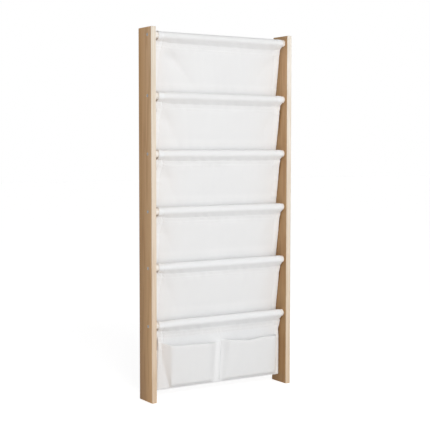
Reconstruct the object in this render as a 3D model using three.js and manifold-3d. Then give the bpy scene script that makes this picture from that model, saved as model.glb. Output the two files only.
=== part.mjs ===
import * as THREE from 'three';
import { mergeVertices } from 'three/addons/utils/BufferGeometryUtils.js';
import Module from 'manifold-3d';

// Sling bookshelf: two upright boards, six round rods screwed between them one above another, and a
// canvas that hangs over the rods in five book slings, with a panel of two patch pockets below.
// Millimetres, +Z up, the front faces -Y. The origin is on the floor, midway between the boards.

// Boards
const overallWidth = 573;
const frameHeight = 1250;
const boardDepth = 88;
const boardThickness = 19;
const boardEdgeRadius = 2;
const boardEndChamfer = 1.2;

// Rods, numbered from the top, with the share of the height that each tier takes
const rodDiameter = 24;
const rodEndChamfer = 1;
const rodSetback = 26.5;
const topRodDrop = 25.5;
const bottomRodHeight = 257;
const tierShares = [1.04, 1, 0.997, 0.983, 1.017];

// Screws: a flat countersunk head with a hexagon socket, a plain collar and a thread
const screwLength = 50;
const screwHeadDiameter = 10.5;
const screwHeadRim = 0.6;
const screwCollarDiameter = 7;
const screwThreadDiameter = 5.8;
const screwTipLength = 5;
const socketAcrossFlats = 4;
const socketDepth = 3.4;
const pilotSpare = 4;

// Canvas: bareRod is the length of rod left bare between the canvas and each board
const canvasThickness = 1;
const bareRodLeft = 19.5;
const bareRodRight = 5.5;
const seamSetback = 11;
const seamDrop = 33;
const seamTail = 8;
const seamLead = 20;
const seamLap = 8;

// Book slings: the throat is the room for books behind each rod, the fold is what they stand in
const throatDepth = 24;
const foldDrop = 92;
const foldRadius = 6;
const sagDepth = 3;

// The pull of each sling's upper left corner: a valley that runs down and inwards and widens on its way,
// with a low ridge on its lower left. Places are in from the cloth's left edge and down from the seam.
const pullDepth = 3.5;
const pullStart = 26;
const pullFootInset = 130;
const pullFootDrop = 158;
const pullWidth = 10;
const pullFootWidth = 30;
const pullShares = [1, 0.7, 0.5, 0.6, 0.6];
const pullFadeInShare = 0.15;
const pullFadeOutShare = 0.5;
const ridgeHeightShare = 0.6;
const ridgeOffsetShare = 1.7;

// Lower panel and its patch pockets
const panelFloorGap = 31;
const panelTaper = 6;
const mouthGap = 34;
const pocketBottomMargin = 3;
const pocketSideMargin = 1.5;
const mouthDepth = 29;
const mouthDroop = 12;
const cornerDroop = 4;
const bellyDepth = 18;
const bellyRise = 17;
const outerFlank = 42;
const outerCrease = 13;
const innerFlank = 30;
const innerCrease = 3;
const flankFoot = 2;

// Clearance between touching pieces, and how far a cutting tool runs past a face
const fit = 0.3;
const overrun = 1;

// Facets
const rodSides = 24;
const screwSides = 16;
const sleeveArcSteps = 9;
const slingColumns = 16;
const slingCrowding = 1.4;
const panelRows = 7;
const throatRows = 3;
const foldRows = 6;
const riseRows = 3;
const pocketRowShares = [0, 0.2, 0.4, 0.6, 0.8, 1];
const bellyRowShares = [0.5, 0];
const pocketFrontShares = [0, 0.25, 0.5, 0.75, 1];

// Worked out from the sizes above
const innerHalf = overallWidth / 2 - boardThickness;
const rodY = rodSetback - boardDepth / 2;
const seamY = rodY + seamSetback;
const canvasLeft = bareRodLeft - innerHalf;
const canvasRight = innerHalf - bareRodRight;
const sleeveRadius = rodDiameter / 2 + fit + canvasThickness;
const pilotDepth = screwLength - boardThickness + pilotSpare;

// The seam's direction in the Y-Z plane, and the direction square to it, towards the back
const seamDirection = new THREE.Vector2(seamSetback, -seamDrop).normalize();
const seamBackward = new THREE.Vector2(-seamDirection.y, seamDirection.x);

// Turns a section drawn in X-Y and extruded along Z into one drawn in Y-Z and extruded along X
const acrossTheShelf = new THREE.Matrix4().makeBasis(
  new THREE.Vector3(0, 1, 0),
  new THREE.Vector3(0, 0, 1),
  new THREE.Vector3(1, 0, 0),
);

const wasm = await Module();
wasm.setup();

// Each mesh gets a material of its own, made from one of these looks
const pine = { color: 0xcfae86, roughness: 0.6, metalness: 0 };
const rodPine = { color: 0xe4cfae, roughness: 0.55, metalness: 0 };
const canvas = { color: 0xf1f0ec, roughness: 0.9, metalness: 0 };
const steel = { color: 0x8b8a86, roughness: 0.35, metalness: 1 };

function rodHeights() {
  const total = tierShares.reduce((sum, share) => sum + share, 0);
  const span = frameHeight - topRodDrop - bottomRodHeight;
  const heights = [frameHeight - topRodDrop];
  for (const share of tierShares) {
    heights.push(heights[heights.length - 1] - (span * share) / total);
  }
  return heights;
}

function namedMesh(name, geometry, look) {
  const mesh = new THREE.Mesh(geometry, new THREE.MeshStandardMaterial(look));
  mesh.name = name;
  return mesh;
}

function toManifold(geometry) {
  const bare = geometry.clone();
  bare.deleteAttribute('normal');
  bare.deleteAttribute('uv');
  const merged = mergeVertices(bare);
  return new wasm.Manifold(new wasm.Mesh({
    numProp: 3,
    vertProperties: new Float32Array(merged.attributes.position.array),
    triVerts: new Uint32Array(merged.index.array),
  }));
}

function toGeometry(manifold) {
  const result = manifold.getMesh();
  const geometry = new THREE.BufferGeometry();
  geometry.setAttribute('position', new THREE.BufferAttribute(result.vertProperties, 3));
  geometry.setIndex(new THREE.BufferAttribute(result.triVerts, 1));
  geometry.computeVertexNormals();
  return geometry;
}

// A solid of revolution about X, from [radius, distance along X] pairs that start and end on the axis
function revolveAboutX(profile, sides) {
  const points = profile.map(([radius, along]) => new THREE.Vector2(radius, along));
  return new THREE.LatheGeometry(points, sides).rotateZ(-Math.PI / 2);
}

// A screw along X with its head's face at zero and its tip towards +X, grown all round by a clearance
function screwProfile(clearance) {
  const head = screwHeadDiameter / 2 + clearance;
  const collar = screwCollarDiameter / 2 + clearance;
  return [
    [0, 0],
    [head, 0],
    [head, screwHeadRim],
    [collar, screwHeadRim + head - collar],
    [collar, boardThickness],
  ];
}

function screwGeometry() {
  const thread = screwThreadDiameter / 2;
  const profile = screwProfile(0).concat([
    [thread, boardThickness],
    [thread, screwLength - screwTipLength],
    [0, screwLength],
  ]);
  const socketRadius = socketAcrossFlats / Math.sqrt(3);
  const socket = new THREE.CylinderGeometry(socketRadius, socketRadius, socketDepth + overrun, 6);
  socket.rotateZ(Math.PI / 2);
  socket.translate((socketDepth - overrun) / 2, 0, 0);
  return toGeometry(toManifold(revolveAboutX(profile, screwSides)).subtract(toManifold(socket)));
}

// The hole that a screw needs in a board: the screw's own shape with clearance, past both faces
function screwHoleGeometry() {
  const [, faceEdge, ...below] = screwProfile(fit);
  const collar = below[below.length - 1][0];
  const profile = [
    [0, -overrun],
    [faceEdge[0], -overrun],
    ...below.slice(0, -1),
    [collar, boardThickness + overrun],
    [0, boardThickness + overrun],
  ];
  return revolveAboutX(profile, screwSides);
}

// A board stands on its end. Its long edges are rounded and its two ends have a small chamfer.
function boardGeometry() {
  const halfThickness = boardThickness / 2;
  const halfDepth = boardDepth / 2;
  const inset = boardEndChamfer;
  const x = halfThickness - inset;
  const y = halfDepth - inset;
  const radius = boardEdgeRadius;
  const section = new THREE.Shape();
  section.moveTo(x, radius - y);
  section.lineTo(x, y - radius);
  section.absarc(x - radius, y - radius, radius, 0, Math.PI / 2, false);
  section.absarc(radius - x, y - radius, radius, Math.PI / 2, Math.PI, false);
  section.absarc(radius - x, radius - y, radius, Math.PI, Math.PI * 1.5, false);
  section.absarc(x - radius, radius - y, radius, Math.PI * 1.5, Math.PI * 2, false);
  const geometry = new THREE.ExtrudeGeometry(section, {
    depth: frameHeight - 2 * inset,
    bevelEnabled: true,
    bevelThickness: inset,
    bevelSize: inset,
    bevelSegments: 1,
    curveSegments: 2,
  });
  return geometry.translate(0, 0, inset);
}

// side is -1 for the left board and +1 for the right one
function upright(name, side, heights) {
  const board = boardGeometry().translate(side * (innerHalf + boardThickness / 2), 0, 0);
  let solid = toManifold(board);
  for (const height of heights) {
    const hole = screwHoleGeometry();
    if (side > 0) hole.rotateZ(Math.PI);
    hole.translate((side * overallWidth) / 2, rodY, height);
    solid = solid.subtract(toManifold(hole));
  }
  return namedMesh(name, toGeometry(solid), pine);
}

function rod(name, height) {
  const half = innerHalf;
  const radius = rodDiameter / 2;
  const bore = screwThreadDiameter / 2 + fit;
  const boreEnd = half - pilotDepth;
  const chamfered = half - rodEndChamfer;
  const profile = [
    [0, bore - boreEnd],
    [bore, -boreEnd],
    [bore, -half],
    [radius - rodEndChamfer, -half],
    [radius, -chamfered],
    [radius, chamfered],
    [radius - rodEndChamfer, half],
    [bore, half],
    [bore, boreEnd],
    [0, boreEnd - bore],
  ];
  const mesh = namedMesh(name, revolveAboutX(profile, rodSides), rodPine);
  mesh.position.set(0, rodY, height);
  return mesh;
}

function screw(name, side, height) {
  const mesh = namedMesh(name, screwGeometry(), steel);
  mesh.position.set((side * overallWidth) / 2, rodY, height);
  if (side > 0) mesh.rotation.z = Math.PI;
  return mesh;
}

// A teardrop round the origin: an arc closed by two tangents that meet at +X, with a straight tail of
// two layers beyond that point where the tail has a half width
function teardrop(radius, apexDistance, tailLength, tailHalfWidth) {
  const reach = Math.hypot(apexDistance, tailHalfWidth);
  const tangent = Math.atan2(tailHalfWidth, apexDistance) + Math.acos(radius / reach);
  const shape = new THREE.Shape();
  shape.moveTo(apexDistance, -tailHalfWidth);
  if (tailHalfWidth > 0) {
    shape.lineTo(apexDistance + tailLength, -tailHalfWidth);
    shape.lineTo(apexDistance + tailLength, tailHalfWidth);
    shape.lineTo(apexDistance, tailHalfWidth);
  }
  shape.lineTo(radius * Math.cos(tangent), radius * Math.sin(tangent));
  shape.absarc(0, 0, radius, tangent, 2 * Math.PI - tangent, false);
  shape.closePath();
  return shape;
}

// A sleeve wraps its rod, and its two layers are sewn flat to each other below it, behind the rod's axis
function sleeve(name, height) {
  const apex = Math.hypot(seamSetback, seamDrop) - seamTail;
  const section = teardrop(sleeveRadius, apex, seamTail, canvasThickness);
  section.holes.push(teardrop(sleeveRadius - canvasThickness, apex, 0, 0));
  const geometry = new THREE.ExtrudeGeometry(section, {
    depth: canvasRight - canvasLeft,
    bevelEnabled: false,
    curveSegments: sleeveArcSteps,
  });
  geometry.rotateZ(seamDirection.angle());
  geometry.applyMatrix4(acrossTheShelf);
  const mesh = namedMesh(name, geometry, canvas);
  mesh.position.set(canvasLeft, rodY, height);
  return mesh;
}

// Unit normals of a grid of points, each from its neighbours: across the grid, then down it
function gridNormals(grid) {
  const lastRow = grid.length - 1;
  return grid.map((row, r) => row.map((point, c) => {
    const across = row[Math.min(c + 1, row.length - 1)].clone().sub(row[Math.max(c - 1, 0)]);
    const down = grid[Math.min(r + 1, lastRow)][c].clone().sub(grid[Math.max(r - 1, 0)][c]);
    return across.cross(down).normalize();
  }));
}

// A closed sheet of cloth: a grid of points on its middle surface, thickened along the normals
function clothGeometry(grid) {
  const normals = gridNormals(grid);
  const rows = grid.length;
  const columns = grid[0].length;
  const positions = [];
  for (const side of [1, -1]) {
    grid.forEach((row, r) => row.forEach((point, c) => {
      const skin = point.clone().addScaledVector(normals[r][c], (side * canvasThickness) / 2);
      positions.push(skin.x, skin.y, skin.z);
    }));
  }
  const at = (r, c) => r * columns + c;
  const back = rows * columns;
  const index = [];
  for (let r = 0; r < rows - 1; r += 1) {
    for (let c = 0; c < columns - 1; c += 1) {
      const [a, b, d, e] = [at(r, c), at(r, c + 1), at(r + 1, c + 1), at(r + 1, c)];
      index.push(a, b, d, a, d, e);
      index.push(back + a, back + d, back + b, back + a, back + e, back + d);
    }
  }
  const border = [];
  for (let c = 0; c < columns - 1; c += 1) border.push(at(0, c));
  for (let r = 0; r < rows - 1; r += 1) border.push(at(r, columns - 1));
  for (let c = columns - 1; c > 0; c -= 1) border.push(at(rows - 1, c));
  for (let r = rows - 1; r > 0; r -= 1) border.push(at(r, 0));
  border.forEach((here, k) => {
    const next = border[(k + 1) % border.length];
    index.push(here, back + here, next, next, back + here, back + next);
  });
  const geometry = new THREE.BufferGeometry();
  geometry.setAttribute('position', new THREE.Float32BufferAttribute(positions, 3));
  geometry.setIndex(index);
  geometry.computeVertexNormals();
  return geometry;
}

function seamPoint(height) {
  return new THREE.Vector2(seamY, height - seamDrop);
}

// The fall of the cloth below a seam: it leaves along the seam's direction and bends to a point below
function fallFromSeam(height, target) {
  const start = seamPoint(height).addScaledVector(seamDirection, fit);
  const lead = start.clone().addScaledVector(seamDirection, seamLead);
  return new THREE.QuadraticBezierCurve(start, lead, target);
}

// The middle line of a sling in the Y-Z plane: down from the upper rod's seam, past the lower rod,
// round the fold and up to the back of the lower rod's seam. Its pieces come with their row counts.
function slingLine(upper, lower) {
  const throat = new THREE.Vector2(rodY + sleeveRadius + throatDepth, lower);
  const fall = fallFromSeam(upper, throat);
  const slope = throat.clone().sub(fall.v1).normalize();
  const forward = new THREE.Vector2(slope.y, -slope.x);
  const centreHeight = lower - foldDrop + foldRadius;
  const run = (centreHeight - forward.y * foldRadius - throat.y) / slope.y;
  const foldStart = throat.clone().addScaledVector(slope, run);
  const centre = foldStart.clone().addScaledVector(forward, foldRadius);
  const lapTop = seamPoint(lower)
    .addScaledVector(seamDirection, fit)
    .addScaledVector(seamBackward, canvasThickness + fit);
  const lapFoot = lapTop.clone().addScaledVector(seamDirection, seamLap);
  const toLap = lapFoot.clone().sub(centre);
  const lapAngle = toLap.angle() + Math.acos(foldRadius / toLap.length());
  const startAngle = foldStart.clone().sub(centre).angle();
  const turn = new THREE.EllipseCurve(
    centre.x, centre.y, foldRadius, foldRadius, startAngle, lapAngle, true,
  );
  return [
    { curve: fall, rows: panelRows },
    { curve: new THREE.LineCurve(throat, foldStart), rows: throatRows },
    { curve: turn, rows: foldRows },
    { curve: new THREE.LineCurve(turn.getPoint(1), lapFoot), rows: riseRows },
    { curve: new THREE.LineCurve(lapFoot, lapTop), rows: 1 },
  ];
}

function linePoints(pieces) {
  const points = [pieces[0].curve.getPoint(0)];
  for (const { curve, rows } of pieces) points.push(...curve.getPoints(rows).slice(1));
  return points;
}

// How far the pull at the corner moves the cloth back at a place in from its left edge and below its seam
function cornerPull(inset, drop) {
  const downShare = drop / pullFootDrop;
  const valley = THREE.MathUtils.lerp(pullStart, pullFootInset, downShare);
  const width = THREE.MathUtils.lerp(pullWidth, pullFootWidth, downShare);
  const offset = (inset - valley) / width;
  const ridge = ridgeHeightShare * Math.exp(-((offset + ridgeOffsetShare) ** 2));
  const fadeIn = THREE.MathUtils.smoothstep(downShare, 0, pullFadeInShare);
  const fadeOut = 1 - THREE.MathUtils.smoothstep(downShare, pullFadeOutShare, 1);
  return pullDepth * fadeIn * fadeOut * (Math.exp(-(offset ** 2)) - ridge);
}

// How far the hanging cloth stands back from its middle line: one slow sag, and the pull at its corner
function drape(inset, drop, downShare, tier) {
  const hold = Math.sin(Math.PI * downShare) ** 2;
  const sag = sagDepth * Math.sin((Math.PI * inset) / (canvasRight - canvasLeft));
  return hold * sag + pullShares[tier - 1] * cornerPull(inset, drop);
}

function sling(name, tier, upper, lower) {
  const line = linePoints(slingLine(upper, lower));
  const hangingRows = panelRows + throatRows;
  const grid = line.map((point, row) => {
    const downShare = Math.min(row / hangingRows, 1);
    const drop = downShare < 1 ? line[0].y - point.y : pullFootDrop;
    const cells = [];
    for (let column = 0; column <= slingColumns; column += 1) {
      const inset = (canvasRight - canvasLeft) * (column / slingColumns) ** slingCrowding;
      const back = drape(inset, drop, downShare, tier);
      cells.push(new THREE.Vector3(canvasLeft + inset, point.x + back, point.y));
    }
    return cells;
  });
  return namedMesh(name, clothGeometry(grid), canvas);
}

// Where the lower panel ends up below its seam, once it hangs straight down
function panelFootY(height) {
  return seamPoint(height).addScaledVector(seamDirection, fit + seamLead).x;
}

// The lower panel's middle line hangs from the bottom rod's seam and then straight down
function panelLine(height) {
  const y = panelFootY(height);
  const bend = new THREE.Vector2(y, height - seamDrop - 2 * seamLead);
  const foot = new THREE.Vector2(y, panelFloorGap);
  return [
    { curve: fallFromSeam(height, bend), rows: panelRows },
    { curve: new THREE.LineCurve(bend, foot), rows: 1 },
  ];
}

function bottomPanel(name, height) {
  const line = linePoints(panelLine(height));
  const top = line[0].y;
  const grid = line.map((point) => {
    const narrowing = (panelTaper * (top - point.y)) / (top - panelFloorGap);
    return [canvasLeft + narrowing, canvasRight - narrowing]
      .map((x) => new THREE.Vector3(x, point.x, point.y));
  });
  return namedMesh(name, clothGeometry(grid), canvas);
}

// The columns across a pocket: how far in from its outer edge each one lies, whether it is sewn to the
// panel (0) or stands out with the pocket's front (1), and how far the mouth droops there. Each flank's
// fold runs outwards to the hem.
function pocketColumns(width, upShare) {
  const outerFold = THREE.MathUtils.lerp(outerFlank - flankFoot, outerCrease, upShare);
  const innerFold = THREE.MathUtils.lerp(innerFlank - flankFoot, innerCrease, upShare);
  const front = pocketFrontShares.map((share) => ({
    inset: THREE.MathUtils.lerp(outerFlank, width - innerFlank, share),
    lift: 1,
    droop: THREE.MathUtils.lerp(cornerDroop, mouthDroop, Math.sin(Math.PI * share)),
  }));
  return [
    { inset: 0, lift: 0, droop: 0 },
    { inset: outerFold, lift: 0, droop: 0 },
    ...front,
    { inset: width - innerFold, lift: 0, droop: 0 },
    { inset: width, lift: 0, droop: 0 },
  ];
}

// A patch pocket lies on the panel at its sides and foot. Its front stands out in a low belly at the
// foot and most at the mouth, where the hem droops. outward is -1 for the left pocket.
function pocket(name, outward, bottomRod) {
  const sewnY = panelFootY(bottomRod) - canvasThickness - fit;
  const foot = panelFloorGap + pocketBottomMargin;
  const hem = seamPoint(bottomRod).y - mouthGap;
  const side = outward < 0 ? canvasLeft : canvasRight;
  const outerEdge = side - outward * (panelTaper + pocketSideMargin);
  const innerEdge = (canvasLeft + canvasRight) / 2 + outward * pocketSideMargin;
  const width = Math.abs(outerEdge - innerEdge);
  const frontHeights = pocketRowShares.map((share) => THREE.MathUtils.lerp(hem, foot + bellyRise, share));
  const bellyHeights = bellyRowShares.map((share) => foot + bellyRise * share);
  const grid = [...frontHeights, ...bellyHeights].map((height) => {
    const upShare = (height - foot) / (hem - foot);
    const bellyShare = Math.min((height - foot) / bellyRise, 1);
    const depth = bellyShare * THREE.MathUtils.lerp(bellyDepth, mouthDepth, upShare);
    const columns = pocketColumns(width, upShare);
    if (outward > 0) columns.reverse();
    return columns.map(({ inset, lift, droop }) => new THREE.Vector3(
      outerEdge - outward * inset,
      sewnY - depth * lift,
      height - droop * upShare,
    ));
  });
  return namedMesh(name, clothGeometry(grid), canvas);
}

const shelf = new THREE.Group();
const heights = rodHeights();
const bottomRod = heights[heights.length - 1];
shelf.add(upright('upright_left', -1, heights));
shelf.add(upright('upright_right', 1, heights));
heights.forEach((height, k) => {
  shelf.add(rod(`rod_${k + 1}`, height));
  shelf.add(screw(`screw_left_${k + 1}`, -1, height));
  shelf.add(screw(`screw_right_${k + 1}`, 1, height));
  shelf.add(sleeve(`sleeve_${k + 1}`, height));
});
for (let k = 1; k < heights.length; k += 1) {
  shelf.add(sling(`sling_${k}`, k, heights[k - 1], heights[k]));
}
shelf.add(bottomPanel('bottom_panel', bottomRod));
shelf.add(pocket('pocket_left', -1, bottomRod));
shelf.add(pocket('pocket_right', 1, bottomRod));

export default shelf;
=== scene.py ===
"""The looks of a children's sling bookshelf: pine boards and rods, socket screws and a sewn canvas.

Metres, +Z up, the front faces -Y. Places come from the frame; shapes of cloth come from the named sizes.
"""

import math

import bpy
import numpy as np
from mathutils import Euler, Matrix, Vector


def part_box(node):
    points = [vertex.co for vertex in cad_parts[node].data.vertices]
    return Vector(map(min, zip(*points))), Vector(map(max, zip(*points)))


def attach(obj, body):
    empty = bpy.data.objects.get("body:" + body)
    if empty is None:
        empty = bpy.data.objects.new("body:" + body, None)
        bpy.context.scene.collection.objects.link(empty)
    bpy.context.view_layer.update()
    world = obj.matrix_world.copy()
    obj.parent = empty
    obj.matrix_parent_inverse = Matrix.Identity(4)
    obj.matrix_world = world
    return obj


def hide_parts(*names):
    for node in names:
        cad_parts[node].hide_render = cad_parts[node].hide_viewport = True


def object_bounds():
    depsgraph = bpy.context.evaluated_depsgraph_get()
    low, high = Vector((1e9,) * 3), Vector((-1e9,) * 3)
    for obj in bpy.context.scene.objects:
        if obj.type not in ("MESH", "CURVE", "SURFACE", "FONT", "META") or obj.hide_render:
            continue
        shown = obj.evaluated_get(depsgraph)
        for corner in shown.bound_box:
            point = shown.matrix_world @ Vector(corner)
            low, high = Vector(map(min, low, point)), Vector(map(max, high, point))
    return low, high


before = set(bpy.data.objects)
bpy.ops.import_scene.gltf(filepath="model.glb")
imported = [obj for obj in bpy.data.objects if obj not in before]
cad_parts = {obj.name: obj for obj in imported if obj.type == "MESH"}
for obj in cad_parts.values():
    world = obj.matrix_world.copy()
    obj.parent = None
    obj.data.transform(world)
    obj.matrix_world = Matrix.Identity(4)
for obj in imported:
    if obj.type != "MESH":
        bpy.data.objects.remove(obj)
cad_box = [list(corner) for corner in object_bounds()]

MM = 0.001

# Camera, fitted to the corners of the boards
CAMERA_PLACE = (-1.957, -3.030, 0.858)
CAMERA_YAW = math.radians(32.72)
CAMERA_PITCH = math.radians(-3.78)
CAMERA_ROLL = math.radians(-0.05)
CAMERA_LENS = 86.9
CAMERA_SENSOR = 36

# Lamps as place, target, size and watts; then the world's light, and the floor's tone and own glow
KEY_LAMP = ((-0.9, -4.4, 3.2), (0, 0, 0.6), 3.0, 88)
FILL_LAMP = ((0.1, -3.5, 0.4), (0, 0, 0.45), 2.1, 41)
WORLD_LIGHT = 0.34
FLOOR_SIZE = 40
FLOOR_TONE = (0.85, 0.85, 0.85, 1)
FLOOR_ROUGHNESS = 0.9
FLOOR_GLOW = 0.65
WHITE = (1, 1, 1, 1)

# Pine. A board's sides have four colours: front and back at the top, then front and back at the foot; their
# darkening towards the back and the foot is painted shade. Its front and back edges have two, at the top
# and at the foot, paler than the sides partly for their edge grain and partly as painted light, and darker
# at the foot as painted shade. The right board's own darker colours are painted shade on its inner face.
# Rings and pores are darkened by shares.
LEFT_SIDES_WITH_PAINTED_SHADE = ((0.885, 0.575, 0.32, 1), (0.70, 0.38, 0.135, 1),
              (0.80, 0.475, 0.20, 1), (0.32, 0.15, 0.038, 1))
LEFT_EDGES_WITH_PAINTED_LIGHT_AND_SHADE = ((0.865, 0.79, 0.68, 1), (0.775, 0.595, 0.425, 1))
RIGHT_SIDES_WITH_PAINTED_SHADE = ((0.66, 0.405, 0.205, 1), (0.48, 0.275, 0.11, 1),
               (0.45, 0.25, 0.095, 1), (0.32, 0.16, 0.05, 1))
RIGHT_EDGES_WITH_PAINTED_LIGHT_AND_SHADE = ((0.955, 0.905, 0.82, 1), (0.775, 0.605, 0.435, 1))
ROD_TONES = ((0.96, 0.95, 0.92, 1),) * 4
LATE_WOOD = (0.76, 0.66, 0.52, 1)
RING_DEPTH = 0.52
EDGE_RING_DEPTH = 0.28
PORE_DEPTH = 0.2

# Noise of the materials: its scales, its detail and its roughness. Rings and pores have one scale across
# the grain and one along it.
RINGS = ((26, 1.1), 3.0, 0.55)
PORES = ((420, 9), 2.0, 0.6)
WARPS = ((2.2, 2.2, 1.3), 2.0, 0.5)
SLUBS = ((90, 90, 900), 3.0, 0.6)
CLOUDS = ((9, 9, 14), 2.0, 0.5)
TWISTS = ((1200, 1200, 1200), 1.0, 0.5)
SCRATCHES = ((300, 1500, 1500), 3.0, 0.6)

# How noise is cut into rings: the share of the warp in it, and their number; then the axes of the grain
WARP_SHARE = 0.6
RING_COUNT = 30.0
X_AXIS = 0
Z_AXIS = 2

# Bumps of the materials: distance and strength
CANVAS_BUMP = (0.12 * MM, 0.6)
THREAD_BUMP = (0.1 * MM, 0.5)
PINE_BUMP = (0.05 * MM, 0.35)
STEEL_BUMP = (0.02 * MM, 0.4)

# Roughness: for pine and steel the least, and how much the noise adds
CANVAS_ROUGHNESS = 0.92
THREAD_ROUGHNESS = 0.7
PINE_ROUGHNESS = (0.42, 0.14)
STEEL_ROUGHNESS = (0.28, 0.2)
CANVAS_SHEEN = 0.15

# Steel, canvas and thread
STEEL_TONES = ((0.24, 0.245, 0.25, 1), (0.40, 0.405, 0.41, 1))
THREAD_TONES = ((0.74, 0.735, 0.72, 1), (0.86, 0.857, 0.85, 1))
CANVAS_SHADES = (0.86, 0.925, 0.965)
# Painted light: the whitest tone, put where shade falls
PAINTED_LIGHT_TONE = (0.975, 0.983, 0.99, 1)
# A darker tone for the pockets' cloth: painted shade
POCKET_PAINTED_SHADE = 0.965
WEAVE_PITCH = 1.1 * MM

# Rods and screws: the screw's places are counted from the face of its head
ROD_CHAMFER = 1.0 * MM
SCREW_COLLAR = 3.5 * MM
SCREW_COLLAR_STEP = 0.4 * MM
SCREW_CORE = 2.9 * MM
SCREW_TIP = 5 * MM
HEAD_RIM = 0.6 * MM
HEAD_EASE = 0.35 * MM
HEAD_CROWN = 0.08 * MM
SOCKET_FLATS = 4 * MM
SOCKET_MOUTH_FLATS = 4.7 * MM
SOCKET_LIP = 0.02 * MM
SOCKET_DEPTH = 3.3 * MM
SOCKET_POINT = 3.9 * MM

# Cloth: one layer, how far its rim rounds out, the room left round a rod, and the hems of folded cloth
CANVAS = 0.8 * MM
RIM_SHARE = 0.45
EASE = 0.3 * MM
HEM_WIDTH = 22 * MM
HEM_THICKNESS = 2.0 * MM
HEM_STEP = 0.8 * MM
HEM_STITCH = 2 * MM

# Relief of a side hem as height and width: the dip along its stitches, its rolled edge and its crown
HEM_DIP = (0.9 * MM, 2.4 * MM)
HEM_ROLL = (0.5 * MM, 4 * MM)
HEM_CROWN = (0.3 * MM, 5 * MM)
HEM_CROWN_SHARE = 0.55
PUCKER_REACH = 9 * MM
PUCKER_STRETCH = 0.2

# Seams below the rods. The front and back of a sleeve meet SEAM_HALF from the seam's middle.
SEAM_SETBACK = 11 * MM
SEAM_DROP = 33 * MM
SEAM_TAIL = 8 * MM
SEAM_LEAD = 20 * MM
SEAM_LIFT = 1.5 * MM
SEAM_HALF = 0.55 * CANVAS
SEAM_ROWS = (11.5 * MM, 20.5 * MM)
ALLOWANCE = 24 * MM
LAP_OFFSET = 1.75 * CANVAS
LAP_START = 1 * MM
LAP_END = 2 * MM

# Relief of a seam as height and width: its lip and the dip along each stitch row; then where it ripples
# below its top, where the sleeve has dents above it, and how many times its bend is softened
SEAM_LIP = (0.8 * MM, 2.0 * MM)
SEAM_LIP_PLACE = 2.5 * MM
SEAM_ROW_DIP = (0.5 * MM, 1.6 * MM)
SEAM_ONSET = (-3 * MM, 1 * MM)
SEAM_END = (ALLOWANCE - 4 * MM, ALLOWANCE + 4 * MM)
DENT_ONSET = (-26 * MM, -12 * MM)
DENT_END = (-5 * MM, 0)
SEAM_TURNS = 2

# Each sleeve is pulled up to its rod near its ends, by a share of its reach and over a width
LEFT_PULL = (0.2, 35 * MM)
RIGHT_PULL = (0.12, 25 * MM)

# Slings
THROAT_DEPTH = 24 * MM
FOLD_DROP = 92 * MM
FOLD_RADIUS = 6 * MM
SAG_DEPTH = 3 * MM
SLING_HANG = 245 * MM

# Lower panel and its pockets. The divider is the seam between them, whose stitches start DIVIDER_ROW rows
# of the mesh below the rod's seam.
PANEL_HANG = 160 * MM
PANEL_DRAPE_SHARE = 0.3
PANEL_FLOOR_GAP = 31 * MM
FOOT_SLANT = 2 * MM
FOOT_HEM = 12 * MM
FOOT_HEM_DIP = (0.3 * MM, 1.4 * MM)
DIVIDER_HEIGHTS = (31 * MM, 185 * MM, 232 * MM)
DIVIDER_PLACES = (6 * MM, 15 * MM, -8 * MM)
DIVIDER_DIP = (0.5 * MM, 2 * MM)
DIVIDER_RIDGE = (0.5 * MM, 4 * MM)
DIVIDER_RIDGE_PLACE = 6 * MM
DIVIDER_LENGTH = 46 * MM
DIVIDER_ONSET = (2 * MM, 12 * MM)
DIVIDER_END = (40 * MM, 50 * MM)
DIVIDER_ROW = 3
POCKET_FOOT_MARGIN = 3 * MM
POCKET_SIDE_MARGIN = 1.5 * MM
POCKET_GAP = 1.3 * CANVAS
MOUTH_HEIGHT = 190 * MM
MOUTH_DEPTH = 29 * MM
MOUTH_HEM = 11 * MM
MOUTH_STITCH = 1.5 * MM
MOUTH_DIP = (0.35 * MM, 1.3 * MM)
BELLY_HEIGHT = 45 * MM
BELLY_DEPTH = 12 * MM
OUTER_DEPTH_SHARE = 0.92
OUTER_EDGE_POWER = 1.7
FRONT_BULGE = 2.5 * MM
BULGE_POWER = 0.8
LEAST_DEPTH = 0.1 * MM
POCKET_TURNS = 2

# Shares of a pocket's height or width between which one form goes over into the next
DROOP_END = (0, 0.75)
SLANT_ONSET = (0.3, 0.7)
BULGE_END = (0, 0.2)
INNER_CORNERS = (0.35, 0.65)

# Each pocket: which way its outer edge faces and what it adds to a seed; from the outer edge in, where the
# flanks fold and the front starts, at the mouth and at the belly; how many times its outer and inner
# corners are rounded; and how many millimetres the mouth droops at shares of its width
POCKETS = {
    "left": {
        "outward": -1,
        "seed": 0,
        "places": ((-0.230, -0.198), (-0.197, -0.194), (-0.040, -0.036), (-0.006, -0.014)),
        "roundness": (10, 16),
        "droop": ((0, -4), (0.04, -4), (0.15, 6.5), (0.33, 9), (0.49, 10), (0.73, 12), (0.94, 16), (1, 17)),
    },
    "right": {
        "outward": 1,
        "seed": 30,
        "places": ((0.250, 0.250), (0.236, 0.242), (0.038, 0.029), (0.019, 0.010)),
        "roundness": (12, 10),
        "droop": ((0, 13), (0.2, 13.5), (0.32, 13), (0.58, 18), (0.73, 15), (0.84, 12), (0.92, 10), (1, 8)),
    },
}

# How the canvas sits on each rod, top to bottom: how far its left edge reaches out and its right edge is
# drawn in, how far the right edge flares out again below the seam, and how many millimetres lower the
# seam hangs at its left and right ends
LEFT_REACHES = (6 * MM, 0, 0, 1 * MM, 2.5 * MM, 4.5 * MM)
RIGHT_GAPS = (4 * MM, 2 * MM, 1.8 * MM, 0, 0, 1.3 * MM)
RIGHT_FLARES = (3.5 * MM, 2.4 * MM, 3.8 * MM, 3.3 * MM, 3.8 * MM, 1.5 * MM)
REACH_SHIFTS = ((-0.9, 3.0), (1.1, 2.7), (1.0, 1.1), (0.6, 4.3), (0.8, 5.7), (2.0, 6.0))

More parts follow.
